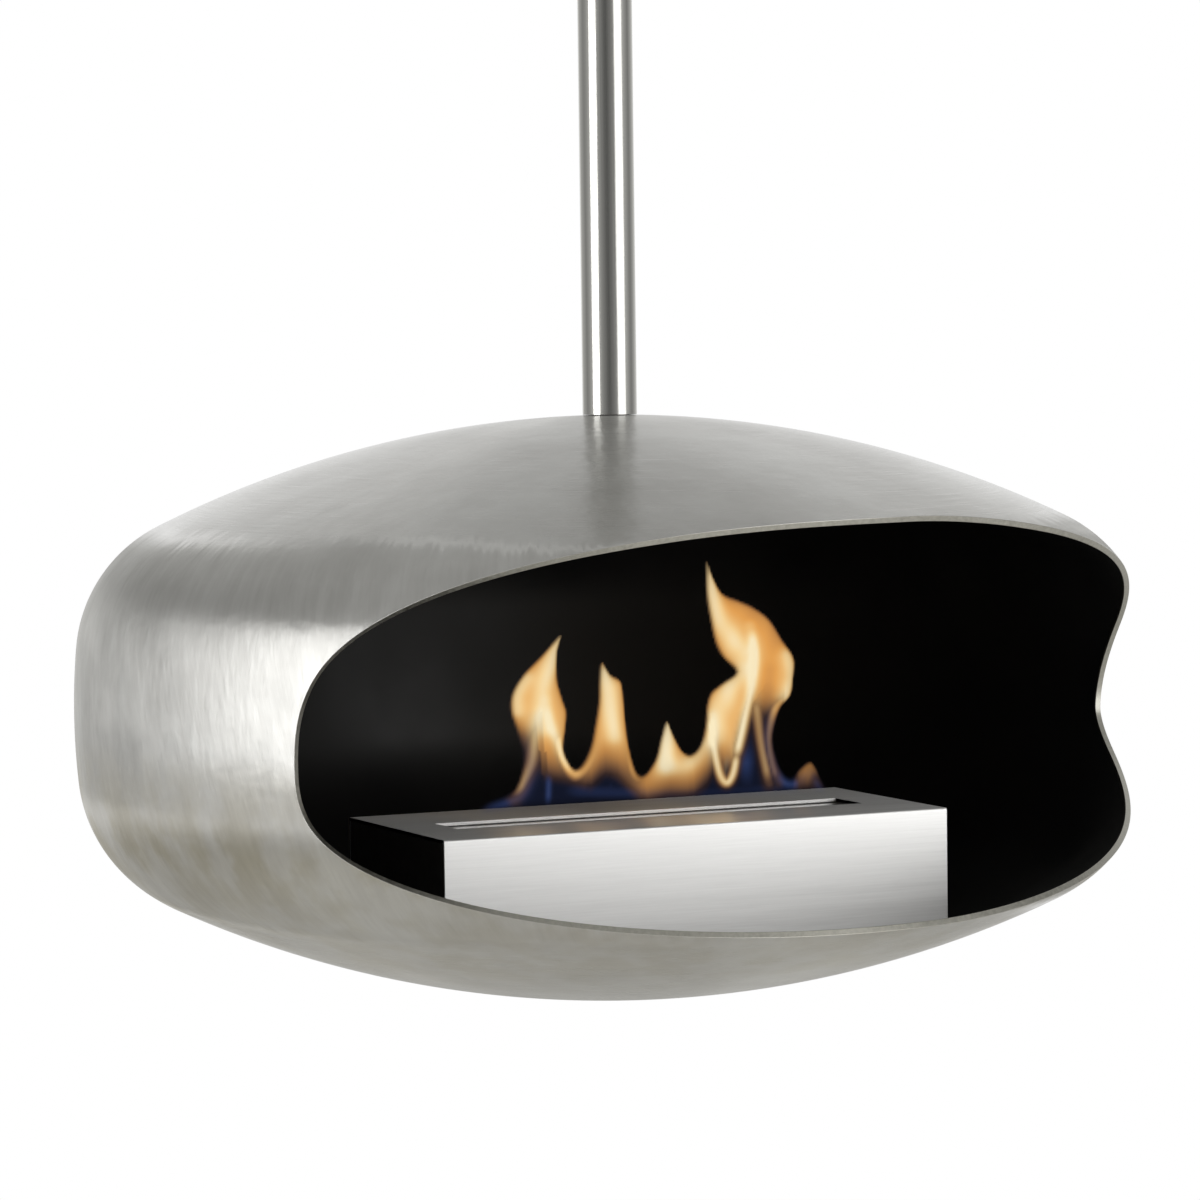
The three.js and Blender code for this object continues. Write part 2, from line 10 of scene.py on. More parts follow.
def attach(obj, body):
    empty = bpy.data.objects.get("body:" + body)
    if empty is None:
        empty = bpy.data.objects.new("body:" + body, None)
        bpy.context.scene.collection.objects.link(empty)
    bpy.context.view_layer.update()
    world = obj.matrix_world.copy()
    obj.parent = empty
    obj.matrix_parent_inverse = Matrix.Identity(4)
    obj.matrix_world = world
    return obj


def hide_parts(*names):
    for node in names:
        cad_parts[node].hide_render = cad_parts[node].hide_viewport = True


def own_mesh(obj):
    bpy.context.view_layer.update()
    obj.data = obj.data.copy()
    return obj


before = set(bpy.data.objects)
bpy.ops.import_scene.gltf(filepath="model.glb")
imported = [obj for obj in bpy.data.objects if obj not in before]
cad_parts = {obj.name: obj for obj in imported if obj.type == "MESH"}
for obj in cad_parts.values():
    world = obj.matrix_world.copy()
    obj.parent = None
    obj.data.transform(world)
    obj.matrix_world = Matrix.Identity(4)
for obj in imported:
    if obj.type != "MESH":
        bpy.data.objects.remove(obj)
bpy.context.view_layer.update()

# ---- driving dimensions, in millimetres from the body's centre unless said ----
MM = 0.001
BODY_Z = -1329.05                    # body centre below the ceiling
BODY_RADIUS = 500
CROWN_RADIUS = 956                   # radius of the dome's arc, and of the bowl's
CROWN_ANGLE = 26.17                  # degrees from upright where that arc ends
SHOULDER_RADIUS = 136
SHOULDER_ANGLE = 84.5                # degrees from upright where the shoulder's arc ends
SHELL_THICK = 2
LINER_OFFSET = 4
LINER_THICK = 1.5
GAP = 0.3                            # between the pole and the body
SEAM = 0.05                          # ground-down weld between the sheets and the edge band

OPENING_CENTRE = 15.7                # degrees round the pole from the front
OPENING_LEFT = 73.5                  # degrees from its centre to its left end
OPENING_RIGHT = 68.0
OPENING_LEVEL = -22.5                # height of its two ends
OPENING_UP = 206                     # from there to its top
OPENING_DOWN = 147
OPENING_STEPS = 7200                 # points from which its length is measured
# How square its corners are: top right, top left, bottom left, bottom right.
CORNER_POWERS = (1.9, 2.7, 2.51, 1.71)
RIM_WIDTH = 2.5
RIM_SOFT = 0.45                      # corner radius of the edge band towards the opening
RIM_TIGHT = 0.05                     # and against the sheets
RIM_FACES = 16                       # faces round the edge band's section, from its cut face on
RIM_OUTSIDE = range(1, 7)            # those of them that show from outside the body

POLE_RADIUS = 25.4
POLE_WALL = 1.5
POLE_TOP = -18                       # below the ceiling
BODY_TOP = -1060                     # below the ceiling

BURNER_TOP = -96
SLOT_Y = -79.6

# ---- camera, from a fit to the outline, the opening and the burner ----
CAMERA_TURN = -25.324                # degrees round the pole
CAMERA_DISTANCE = 4140.2
CAMERA_HEIGHT = 344.4
CAMERA_PAN = -0.156
CAMERA_TILT = 3.426
CAMERA_ROLL = -0.735
CAMERA_LENS = 133.49                 # on a 36 mm sensor

# ---- body profile ----
crown_end = math.radians(CROWN_ANGLE)
shoulder_end = math.radians(SHOULDER_ANGLE)
shoulder_r = (CROWN_RADIUS - SHOULDER_RADIUS) * math.sin(crown_end)
flank_radius = (
    BODY_RADIUS - shoulder_r - SHOULDER_RADIUS * math.sin(shoulder_end)
) / (1 - math.sin(shoulder_end))
shoulder_z = (flank_radius - SHOULDER_RADIUS) * math.cos(shoulder_end)
crown_z = shoulder_z + (SHOULDER_RADIUS - CROWN_RADIUS) * math.cos(crown_end)


def profile_point(angle, offset):
    """(radius, height) where the profile's normal leans by angle from +Z."""
    a = min(angle, math.pi - angle)
    r, z, radius = BODY_RADIUS - flank_radius, 0.0, flank_radius
    if a < crown_end:
        r, z, radius = 0.0, crown_z, CROWN_RADIUS
    elif a < shoulder_end:
        r, z, radius = shoulder_r, shoulder_z, SHOULDER_RADIUS
    side = -1 if angle > math.pi / 2 else 1
    reach = radius - offset
    return r + reach * math.sin(a), side * (z + reach * math.cos(a))


def profile_angle(z):
    """Angle of the profile's normal at height z over the equator."""
    up = abs(z)
    a = math.acos(min(1, up / flank_radius))
    if up > crown_z + CROWN_RADIUS * math.cos(crown_end):
        a = math.acos(min(1, (up - crown_z) / CROWN_RADIUS))
    elif up > shoulder_z + SHOULDER_RADIUS * math.cos(shoulder_end):
        a = math.acos((up - shoulder_z) / SHOULDER_RADIUS)
    return math.pi - a if z < 0 else a


def surface(turn, angle, offset=0.0):
    """Point of the body's surface, moved in by offset."""
    r, z = profile_point(angle, offset)
    return Vector((r * math.sin(turn), -r * math.cos(turn), z))


def surface_normal(turn, angle):
    flat = math.sin(angle)
    return Vector((flat * math.sin(turn), -flat * math.cos(turn), math.cos(angle)))


# Elevation seen from the body's centre against the angle of the normal.
table_angles = np.linspace(0, math.pi, 2001)
table_rises = np.array([
    math.atan2(z, r) for r, z in (profile_point(a, 0) for a in table_angles)
])


def at_direction(direction):
    """(turn, angle) of the surface point that lies in this direction."""
    rise = math.atan2(direction.z, math.hypot(direction.x, direction.y))
    angle = float(np.interp(-rise, -table_rises, table_angles))
    return math.atan2(direction.x, -direction.y), angle


# ---- the opening ----
def opening_at(phi):
    c, s = math.cos(phi), math.sin(phi)
    corner = (0 if c >= 0 else 1) if s >= 0 else (2 if c < 0 else 3)
    power = 2 / CORNER_POWERS[corner]
    width = OPENING_RIGHT if c >= 0 else OPENING_LEFT
    height = OPENING_UP if s >= 0 else OPENING_DOWN
    turn = OPENING_CENTRE + width * math.copysign(abs(c) ** power, c)
    z = OPENING_LEVEL + height * math.copysign(abs(s) ** power, s)
    return surface(math.radians(turn), profile_angle(z))


def opening_loop(count):
    """count evenly spaced points round the opening's edge."""
    fine = [opening_at(i * 2 * math.pi / OPENING_STEPS) for i in range(OPENING_STEPS)]
    fine.append(fine[0])
    steps = [(b - a).length for a, b in zip(fine, fine[1:])]
    along = np.concatenate(([0], np.cumsum(steps)))
    want = np.linspace(0, along[-1], count, endpoint=False)
    xyz = np.array([tuple(p) for p in fine])
    return [Vector([float(np.interp(w, along, xyz[:, k])) for k in range(3)]) for w in want]


def edge_frames(count):
    """For each point round the edge: the point, the outward normal and the way off the opening."""
    loop = opening_loop(count)
    frames = []
    for i, point in enumerate(loop):
        along = (loop[(i + 1) % count] - loop[i - 1]).normalized()
        normal = surface_normal(*at_direction(point))
        away = along.cross(normal).normalized()
        frames.append((point, normal, away))
    return frames


# ---- meshes ----
def new_object(name, points, faces, body, normals=None):
    """A mesh object from points in mm round the body's centre, riding on a CAD body."""
    mesh = bpy.data.meshes.new(name)
    shifted = [(p[0] * MM, p[1] * MM, (p[2] + BODY_Z) * MM) for p in points]
    mesh.from_pydata(shifted, [], faces)
    mesh.polygons.foreach_set("use_smooth", [True] * len(mesh.polygons))
    if normals:
        mesh.normals_split_custom_set_from_vertices([tuple(n) for n in normals])
    mesh.update()
    obj = bpy.data.objects.new(name, mesh)
    bpy.context.scene.collection.objects.link(obj)
    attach(obj, body)
    return obj


def make_wrapped_sheet(name, outer, inner, count, rings):
    """Closed sheet over the whole body except the opening, between two offsets."""
    grow = RIM_WIDTH + SEAM
    back = Vector((
        -math.sin(math.radians(OPENING_CENTRE)), math.cos(math.radians(OPENING_CENTRE)), 0,
    ))
    starts = [(p + away * grow).normalized() for p, _, away in edge_frames(count)]
    points, normals, faces = [], [], []
    for offset, side in ((outer, 1), (inner, -1)):
        first = len(points)
        for k in range(rings):
            for start in starts:
                turn, angle = at_direction(start.slerp(back, k / rings))
                points.append(surface(turn, angle, offset))
                normals.append(surface_normal(turn, angle) * side)
        turn, angle = at_direction(back)
        points.append(surface(turn, angle, offset))
        normals.append(surface_normal(turn, angle) * side)
        last = len(points) - 1
        for k in range(rings):
            for i in range(count):
                j = (i + 1) % count
                a, b = first + k * count + i, first + k * count + j
                if k == rings - 1:
                    face = (a, b, last)
                else:
                    face = (a, b, b + count, a + count)
                faces.append(face if side < 0 else face[::-1])
    far = rings * count + 1
    for i in range(count):
        j = (i + 1) % count
        faces.append((i, j, far + j, far + i))
    return new_object(name, points, faces, "fireplace", normals)


def make_rim_band():
    """Edge band round the opening: a bar with softened corners, swept round the edge."""
    count = 720
    deep = LINER_OFFSET + LINER_THICK
    section = []
    steps = RIM_FACES // 4
    corners = (
        (RIM_SOFT, RIM_SOFT, RIM_SOFT, 180),
        (RIM_WIDTH - RIM_TIGHT, RIM_TIGHT, RIM_TIGHT, 270),
        (RIM_WIDTH - RIM_TIGHT, deep - RIM_TIGHT, RIM_TIGHT, 0),
        (RIM_SOFT, deep - RIM_SOFT, RIM_SOFT, 90),
    )
    for across, down, radius, begin in corners:
        for step in range(steps):
            a = math.radians(begin + step * 90 / (steps - 1))
            c, s = math.cos(a), math.sin(a)
            section.append((across + radius * c, down + radius * s, c, s))
    points, normals, faces = [], [], []
    for point, normal, away in edge_frames(count):
        for across, down, c, s in section:
            points.append(point + away * across - normal * down)
            normals.append(away * c - normal * s)
    for i in range(count):
        a0, b0 = i * RIM_FACES, ((i + 1) % count) * RIM_FACES
        for k in range(RIM_FACES):
            m = (k + 1) % RIM_FACES
            faces.append((a0 + m, b0 + m, b0 + k, a0 + k))
    return new_object("edge_band", points, faces, "fireplace", normals)


def finish_rim_band(obj, cut, outside):
    """The cut face's material, and the shell's own where the band is ground flush with it."""
    wear(obj, cut, outside)
    for polygon in obj.data.polygons:
        if polygon.index % RIM_FACES in RIM_OUTSIDE:
            polygon.material_index = 1


def make_tube(name, outer, inner, low, high, body):
    """Upright tube on the pole's axis, with low and high measured from the ceiling."""
    points, faces = [], []
    segments = 160
    soft = 0.3
    rings = (
        (outer, low + soft), (outer, high - soft), (outer - soft, high),
        (inner + soft, high), (inner, high - soft), (inner, low + soft),
        (inner + soft, low), (outer - soft, low),
    )
    for i in range(segments):
        a = i * 2 * math.pi / segments
        for r, z in rings:
            points.append((r * math.cos(a), r * math.sin(a), z - BODY_Z))
    size = len(rings)
    for i in range(segments):
        a0, b0 = i * size, ((i + 1) % segments) * size
        for k in range(size):
            m = (k + 1) % size
            faces.append((a0 + k, b0 + k, b0 + m, a0 + m))
    obj = new_object(name, points, faces, body)
    obj.data.set_sharp_from_angle(angle=math.radians(30))
    return obj


# ---- materials ----
# Heights over the body's centre, in metres, between which the finish changes.
GRAIN_TURNS = (0.150, 0.176)         # from the flank's grain to the dome's and the bowl's
# Painted shade: a darker, warmer band low on the flank that stands in for the dim reflection there:
# (height over the body's centre in metres, strength).
PAINTED_SHADE_BAND = ((-0.24, 0), (-0.20, 0.5), (-0.15, 0.5), (-0.10, 1.0), (-0.05, 0.5), (-0.01, 0))
# Colour that this painted shade multiplies the steel's own tone by.
PAINTED_SHADE_TINT = (0.80, 0.76, 0.65, 1)


def node(tree, kind, inputs=None, **settings):
    """A shader node. An input may be a value or another node's output."""
    made = tree.nodes.new(kind)
    for key, value in settings.items():
        setattr(made, key, value)
    for key, value in (inputs or {}).items():
        if isinstance(value, bpy.types.NodeSocket):
            tree.links.new(value, made.inputs[key])
        else:
            made.inputs[key].default_value = value
    return made


def maths(tree, operation, *values):
    made = node(tree, "ShaderNodeMath", dict(enumerate(values)), operation=operation)
    return made.outputs[0]


def vector_maths(tree, operation, *values):
    made = node(tree, "ShaderNodeVectorMath", dict(enumerate(values)), operation=operation)
    return made.outputs[0]


def scaled(tree, low, high, to_low, to_high, value):
    inputs = {"Value": value, 1: low, 2: high, 3: to_low, 4: to_high}
    return node(tree, "ShaderNodeMapRange", inputs).outputs[0]


def noise(tree, vector, scale, detail=2.0, roughness=0.5):
    inputs = {"Vector": vector, "Scale": scale, "Detail": detail, "Roughness": roughness}
    return node(tree, "ShaderNodeTexNoise", inputs).outputs["Fac"]


def ramp(tree, value, stops):
    made = node(tree, "ShaderNodeValToRGB", {"Fac": value})
    elements = made.color_ramp.elements
    while len(elements) < len(stops):
        elements.new(0.5)
    for element, (place, color) in zip(elements, stops):
        element.position = place
        element.color = (*color, 1)
    return made.outputs["Color"]


def blend(tree, share, first, second, kind="RGBA", how="MIX"):
    """Mix of two colours, numbers or vectors."""
    slot, result = {"FLOAT": (2, 0), "VECTOR": (4, 1), "RGBA": (6, 2)}[kind]
    inputs = {"Factor": share, slot: first, slot + 1: second}
    return node(tree, "ShaderNodeMix", inputs, data_type=kind, blend_type=how).outputs[result]


def bump(tree, height, strength, distance, under=None):
    inputs = {"Height": height, "Strength": strength, "Distance": distance}
    if under:
        inputs["Normal"] = under
    return node(tree, "ShaderNodeBump", inputs).outputs[0]


def object_place(tree, centre=(0, 0, 0)):
    place = node(tree, "ShaderNodeTexCoord").outputs["Object"]
    return vector_maths(tree, "SUBTRACT", place, centre)


def new_material(name, metallic=1.0):
    material = bpy.data.materials.new(name)
    material.use_nodes = True
    tree = material.node_tree
    shader = tree.nodes["Principled BSDF"]
    shader.inputs["Metallic"].default_value = metallic
    return material, tree, shader


def connect(tree, shader, **values):
    for key, value in values.items():
        tree.links.new(value, shader.inputs[key.replace("_", " ")])


def body_streaks(tree, around, down, place):
    """Coordinates that run in streaks down the body, from the pole to the bowl."""
    flat = vector_maths(tree, "MULTIPLY", place, (1, 1, 0))
    ring = vector_maths(tree, "SCALE", vector_maths(tree, "NORMALIZE", flat))
    ring.node.inputs["Scale"].default_value = around
    split = node(tree, "ShaderNodeSeparateXYZ", {0: place})
    reach = node(tree, "ShaderNodeVectorMath", {0: flat}, operation="LENGTH").outputs["Value"]
    rise = maths(tree, "ARCTAN2", split.outputs["Z"], reach)
    along = node(tree, "ShaderNodeCombineXYZ", {"Z": maths(tree, "MULTIPLY", rise, down)})
    return vector_maths(tree, "ADD", ring, along.outputs[0])


def slanted(tree, place, turns):
    """The same place, turned about the body's axis by its height, so that streaks lean."""
    split = node(tree, "ShaderNodeSeparateXYZ", {0: place})
    angle = maths(tree, "MULTIPLY", split.outputs["Z"], turns)
    axis = {"Vector": place, "Axis": (0, 0, 1), "Angle": angle}
    return node(tree, "ShaderNodeVectorRotate", axis).outputs[0]


def shell_steel():
    """Hand-finished stainless sheet, ground round the dome and bowl and down the flank."""
    material, tree, shader = new_material("shell_steel")
    place = object_place(tree, (0, 0, BODY_Z * MM))
    height = node(tree, "ShaderNodeSeparateXYZ", {0: place}).outputs["Z"]
    blotch = noise(tree, place, 7.0, 4.0, 0.6)
    smudge = noise(tree, place, 19.0, 3.0, 0.55)
    streak = noise(tree, body_streaks(tree, 26, 2.2, place), 1.0, 5.0, 0.62)
    swipe = noise(tree, body_streaks(tree, 70, 9, slanted(tree, place, 0.6)), 1.0, 3.0, 0.6)
    lean_left = noise(tree, body_streaks(tree, 420, 9, slanted(tree, place, 0.5)), 1.0, 3.0, 0.7)
    lean_right = noise(tree, body_streaks(tree, 380, 9, slanted(tree, place, -0.4)), 1.0, 3.0, 0.7)
    crossed = maths(tree, "MAXIMUM", lean_left, lean_right)
    rings = noise(tree, body_streaks(tree, 5, 460, place), 1.0, 3.0, 0.7)
    ring_bands = noise(tree, body_streaks(tree, 2.5, 34, place), 1.0, 4.0, 0.6)
    ring_bands = scaled(tree, 0, 1, 0.4, 0.6, ring_bands)

    uneven = scaled(tree, 0, 1, -0.01, 0.01, swipe)
    ragged = maths(tree, "ADD", maths(tree, "ABSOLUTE", height), uneven)
    round_grain = scaled(tree, *GRAIN_TURNS, 0, 1, ragged)
    scratch = blend(tree, round_grain, crossed, rings, "FLOAT")
    stroke = blend(tree, round_grain, swipe, ring_bands, "FLOAT")
    band = blend(tree, round_grain, streak, 0.5, "FLOAT")
    cloud = maths(
        tree, "ADD",
        maths(tree, "MULTIPLY", blotch, 0.55),
        maths(tree, "ADD", maths(tree, "MULTIPLY", band, 0.2), maths(tree, "MULTIPLY", stroke, 0.25)),
    )
    unshaded_tone = ramp(tree, cloud, [
        (0.36, (0.50, 0.495, 0.475)), (0.50, (0.57, 0.565, 0.545)), (0.64, (0.64, 0.64, 0.62)),
    ])
    # Painted shade: the steel darkened and warmed in a band low on the flank, broken into patches by
    # the smudge noise, in place of the dim reflection there.
    painted_shade = ramp(tree, scaled(tree, -BODY_RADIUS * MM, BODY_RADIUS * MM, 0, 1, height), [
        (0.5 + at, (level, level, level)) for at, level in PAINTED_SHADE_BAND
    ])
    patchy_painted_shade = maths(tree, "MULTIPLY", painted_shade, scaled(tree, 0.40, 0.58, 0.4, 1.0, smudge))
    tint = blend(tree, patchy_painted_shade, unshaded_tone, PAINTED_SHADE_TINT, how="MULTIPLY")
    dull = blend(tree, round_grain, scaled(tree, 0.3, 0.7, 0.31, 0.38, smudge), 0.30, "FLOAT")
    rough = maths(tree, "ADD", dull, scaled(tree, 0.35, 0.75, -0.03, 0.06, scratch))
    waves = bump(tree, blotch, 0.5, 0.003)
    dents = bump(tree, smudge, 0.5, 0.0012, waves)
    lines = bump(tree, band, 0.3, 0.0015, dents)
    strokes = bump(tree, stroke, 0.35, 0.0006, lines)
    fine = bump(tree, scratch, 0.35, 0.0002, strokes)
    around = node(tree, "ShaderNodeTangent", direction_type="RADIAL", axis="Z").outputs[0]
    facing = node(tree, "ShaderNodeNewGeometry").outputs["Normal"]
    down = vector_maths(tree, "CROSS_PRODUCT", facing, around)
    shader.inputs["Anisotropic"].default_value = 0.9
    connect(
        tree, shader, Base_Color=tint, Roughness=rough, Normal=fine,
        Tangent=blend(tree, round_grain, around, down, "VECTOR"),
    )
    return material


def drawn_steel(name, stretch, light, dark, low, high, depth, metallic=1.0, fold=None):
    """Steel brushed along one axis.

    stretch holds the noise scale along X, Y and Z, low and high are the limits of the
    roughness, depth is the grain's and fold the radius of the folded edges, in metres.
    """
    material, tree, shader = new_material(name, metallic)
    place = object_place(tree)
    grain = noise(tree, vector_maths(tree, "MULTIPLY", place, stretch), 1.0, 4.0, 0.65)
    broad = noise(tree, vector_maths(tree, "MULTIPLY", place, [s * 0.12 for s in stretch]), 1.0)
    both = maths(tree, "ADD", maths(tree, "MULTIPLY", grain, 0.6), maths(tree, "MULTIPLY", broad, 0.4))
    tint = ramp(tree, both, [(0.3, dark), (0.62, light)])
    rough = scaled(tree, 0.3, 0.7, low, high, both)
    rounded_edges = None
    if fold:
        rounded_edges = node(tree, "ShaderNodeBevel", {"Radius": fold}, samples=6).outputs[0]
    uneven = bump(tree, grain, 0.4, depth, rounded_edges)
    connect(tree, shader, Base_Color=tint, Roughness=rough, Normal=uneven)
    return material


def spread_across(material, axis, amount):
    """Stretch the reflections across the grain, which runs along the object's axis."""
    tree = material.node_tree
    shader = tree.nodes["Principled BSDF"]
    grain = node(
        tree, "ShaderNodeVectorTransform", {0: axis},
        vector_type="VECTOR", convert_from="OBJECT", convert_to="WORLD",
    ).outputs[0]
    facing = node(tree, "ShaderNodeNewGeometry").outputs["Normal"]
    shader.inputs["Anisotropic"].default_value = amount
    connect(tree, shader, Tangent=vector_maths(tree, "CROSS_PRODUCT", facing, grain))


def black_paint():
    """Matt heat-proof paint inside the body, with a faint sheen."""
    material, tree, shader = new_material("black_paint", 0.0)
    place = object_place(tree)
    grain = noise(tree, place, 900.0, 2.0)
    smoke = noise(tree, place, 9.0, 3.0)
    tint = ramp(tree, smoke, [(0.3, (0.007, 0.007, 0.0075)), (0.7, (0.014, 0.0135, 0.013))])
    rough = scaled(tree, 0.3, 0.7, 0.44, 0.54, smoke)
    connect(tree, shader, Base_Color=tint, Roughness=rough, Normal=bump(tree, grain, 0.15, 0.0002))
    return material


def cut_edge():
    """Ground edge of the opening."""
    material, tree, shader = new_material("cut_edge")
    place = object_place(tree)
    grain = noise(tree, place, 260.0, 3.0, 0.7)
    tint = ramp(tree, grain, [(0.3, (0.38, 0.37, 0.325)), (0.7, (0.50, 0.488, 0.435))])
    rough = scaled(tree, 0.3, 0.7, 0.3, 0.42, grain)
    connect(tree, shader, Base_Color=tint, Roughness=rough, Normal=bump(tree, grain, 0.2, 0.0002))
    return material


def ceramic_wool():
    material, tree, shader = new_material("ceramic_wool", 0.0)
    place = object_place(tree)
    tuft = noise(tree, place, 240.0, 6.0, 0.7)
    tint = ramp(tree, tuft, [(0.3, (0.46, 0.42, 0.36)), (0.7, (0.80, 0.78, 0.72))])
    shader.inputs["Roughness"].default_value = 0.95
    connect(tree, shader, Base_Color=tint, Normal=bump(tree, tuft, 0.9, 0.002))
    return material


def wear(obj, *materials):
    obj.data.materials.clear()
    for material in materials:
        obj.data.materials.append(material)


# ---- flames: thin curved sheets of light standing in the slot ----
# Outline of the fire in the slot's plane, from its left foot over the tongues to its right
# foot: (x, z, warmth of the edge there, from 0 for blue to 1 for orange).
FIRE_OUTLINE = (
    (-190, -94, 0), (-177, -84, 0), (-165, -76, 0), (-148, -71, 0), (-138, -65, 0),
    (-133, -54, 0), (-130, -38, 0), (-132, -22, 0.1), (-135, -9, 0.6),
    # left tongue
    (-138, 3, 1), (-138, 15, 1), (-134, 26, 1), (-125, 39, 1), (-111, 53, 1), (-92, 73, 1),
    (-94, 58, 1), (-94, 42, 1), (-93, 29, 1), (-88, 12, 1), (-85, 1, 1), (-87, -15, 1),
    (-90, -31, 1), (-87, -42, 1), (-80, -50, 1), (-72, -44, 1),
    # second tongue
    (-64, -30, 1), (-59, -13, 1), (-54, 9, 1), (-53, 29, 1), (-51, 46, 1), (-41, 34, 1),
    (-30, 27, 1), (-27, 10, 1), (-26, -9, 1), (-25, -27, 1), (-22, -43, 1), (-17, -56, 1),
    (-11, -60, 1), (-4, -55, 1),
    # third tongue
    (4, -44, 1), (10, -28, 1), (18, -12, 1), (25, -26, 1), (32, -39, 1), (40, -44, 1),
    # tall tongue
    (49, -39, 1), (55, -29, 1), (59, -15, 1), (61, 0, 1), (66, 12, 1), (77, 20, 1),
    (91, 30, 1), (78, 43, 1), (69, 58, 1), (63, 79, 1), (59, 98, 1), (58, 115, 1),
    (60, 134, 1), (66, 119, 1), (75, 104, 1), (91, 97, 1), (106, 90, 1), (122, 78, 1),
    (136, 58, 1), (148, 41, 1), (148, 22, 1), (145, 6, 1), (135, -5, 0.8),
    (129, -19, 0.2), (125, -35, 0), (128, -51, 0), (134, -64, 0), (143, -70, 0),
    # low tongue at the right
    (151, -62, 0.3), (161, -56, 0.4), (168, -62, 0.35), (174, -72, 0), (184, -86, 0),
    (192, -94, 0),
)
# Height under which the inside of the fire is dark, from left to right.
DARK_UNDER = (
    (-190, -20), (-140, -20), (-128, -20), (-112, -34), (-90, -38), (-66, -46), (-52, -34),
    (-40, -36), (-28, -46), (-8, -66), (16, -60), (40, -62), (54, -50), (66, -34), (80, -44),
    (92, -20), (104, 2), (122, 6), (136, -2), (150, -70), (170, -66),
)
# Places inside the fire that are hotter or cooler than the rest: change, half width, path.
GLOWS = (
    (0.34, 9, ((-92, 70), (-100, 48), (-110, 26), (-112, 4), (-108, -12))),
    (0.26, 7, ((-134, 4), (-133, 20), (-124, 34))),
    (0.40, 9, ((-48, 36), (-43, 16), (-42, -6), (-42, -22))),
    (0.46, 10, ((18, -18), (14, -38), (14, -54))),
    (0.34, 9, ((14, -54), (30, -56), (46, -50), (54, -36))),
    (0.36, 9, ((60, 128), (63, 104), (72, 80), (84, 62), (96, 50))),
    (-0.16, 14, ((84, 98), (104, 84), (122, 70), (134, 54))),
    (0.34, 10, ((98, 34), (82, 12), (72, -6), (70, -30))),
    (0.32, 8, ((140, 44), (145, 24), (138, 6))),
    (-0.12, 9, ((122, 30), (120, 10), (116, -8))),
)
# Brighter strands inside the fire: brightness, half width, and (x, z) along each of them.
STRANDS = (
    (0.48, 5.0, ((-108, 12), (-116, -6), (-119, -24), (-123, -43), (-131, -60), (-140, -75))),
    (0.60, 5.0, ((-107, 12), (-104, -8), (-98, -24), (-91, -40), (-81, -55))),
    (0.92, 4.8, ((101, 72), (104, 56), (106, 41), (104, 18), (98, -5), (90, -31), (83, -51))),
    (0.85, 4.2, ((86, -42), (81, -62), (75, -71), (69, -67), (65, -54), (64, -36), (65, -10))),
    (0.46, 5.0, ((107, 8), (109, -22), (112, -48), (118, -75))),
    (0.34, 4.2, ((130, 4), (123, -14), (119, -34), (121, -54), (128, -74))),
)
BLUE_STRANDS = (
    (0.50, 4.0, ((-108, -50), (-108, -84))),
    (0.25, 3.5, ((-46, -60), (-47, -80))),
    (0.45, 9.0, ((98, -30), (94, -56), (96, -78))),
    (0.40, 5.0, ((131, -18), (129, -40), (134, -62), (150, -78))),
    (0.30, 6.0, ((-131, -22), (-130, -48), (-144, -72), (-170, -84))),
    (0.28, 8.0, ((-100, -68), (-20, -76), (60, -82), (170, -80))),
)
FLAME_STEP = 2.0
FLAME_SOFT = 4.0                     # width of the fading edge
FLAME_CORE = 13.0                    # depth at which the inside is fully its own colour
FLAME_HALF_DEPTH = 7.0               # half the gap between the front sheet and the back one
FLAME_ROUND = 22.0                   # depth at which the gap is that wide
FLAME_LEFT = -192                    # limits of the grid that the flames are cut from
FLAME_RIGHT = 196
FLAME_TOP = 138
BLUE_COVER = 0.55                    # how much of what is behind it the blue fire hides
FIRE_FOOT = -90                      # the fire is too faint to see below this


def smooth(low, high, value):
    t = np.clip((value - low) / (high - low), 0, 1)
    return t * t * (3 - 2 * t)


def rounded(points, steps=4):
    """The same points with a smooth curve through them (Catmull-Rom)."""
    p = np.array(points, float)
    p = np.vstack([2 * p[0] - p[1], p, 2 * p[-1] - p[-2]])
    curve = []
    for a, b, c, d in zip(p, p[1:], p[2:], p[3:]):
        for t in np.arange(steps) / steps:
            curve.append(
                b + 0.5 * t * (c - a + t * (2 * a - 5 * b + 4 * c - d + t * (3 * (b - c) + d - a)))
            )
    return np.vstack([curve, p[-2]])


def along_path(path, x, z):
    """Distance from every (x, z) to a path, and the path's third value at the nearest place."""
    nearest = np.full(x.shape, 1e9)
    value = np.zeros(x.shape)
    for a, b in zip(path, path[1:]):
        run = b[:2] - a[:2]
        t = np.clip(((x - a[0]) * run[0] + (z - a[1]) * run[1]) / max(run @ run, 1e-9), 0, 1)
        gap = np.hypot(x - a[0] - t * run[0], z - a[1] - t * run[1])
        closer = gap < nearest
        nearest = np.where(closer, gap, nearest)
        if len(a) > 2:
            value = np.where(closer, a[2] + t * (b[2] - a[2]), value)
    return nearest, value


def inside_path(path, x, z):
    """True where (x, z) lies inside the closed path."""
    inside = np.zeros(x.shape, bool)
    for a, b in zip(path, np.roll(path, -1, axis=0)):
        crosses = (a[1] > z) != (b[1] > z)
        if a[1] != b[1]:
            inside ^= crosses & (x < a[0] + (z - a[1]) * (b[0] - a[0]) / (b[1] - a[1]))
    return inside


def glows(lines, x, z):
    total = np.zeros(x.shape)
    for level, width, path in lines:
        gap, _ = along_path(rounded(path), x, z)
        total += level * np.exp(-(gap / width) ** 2)
    return total


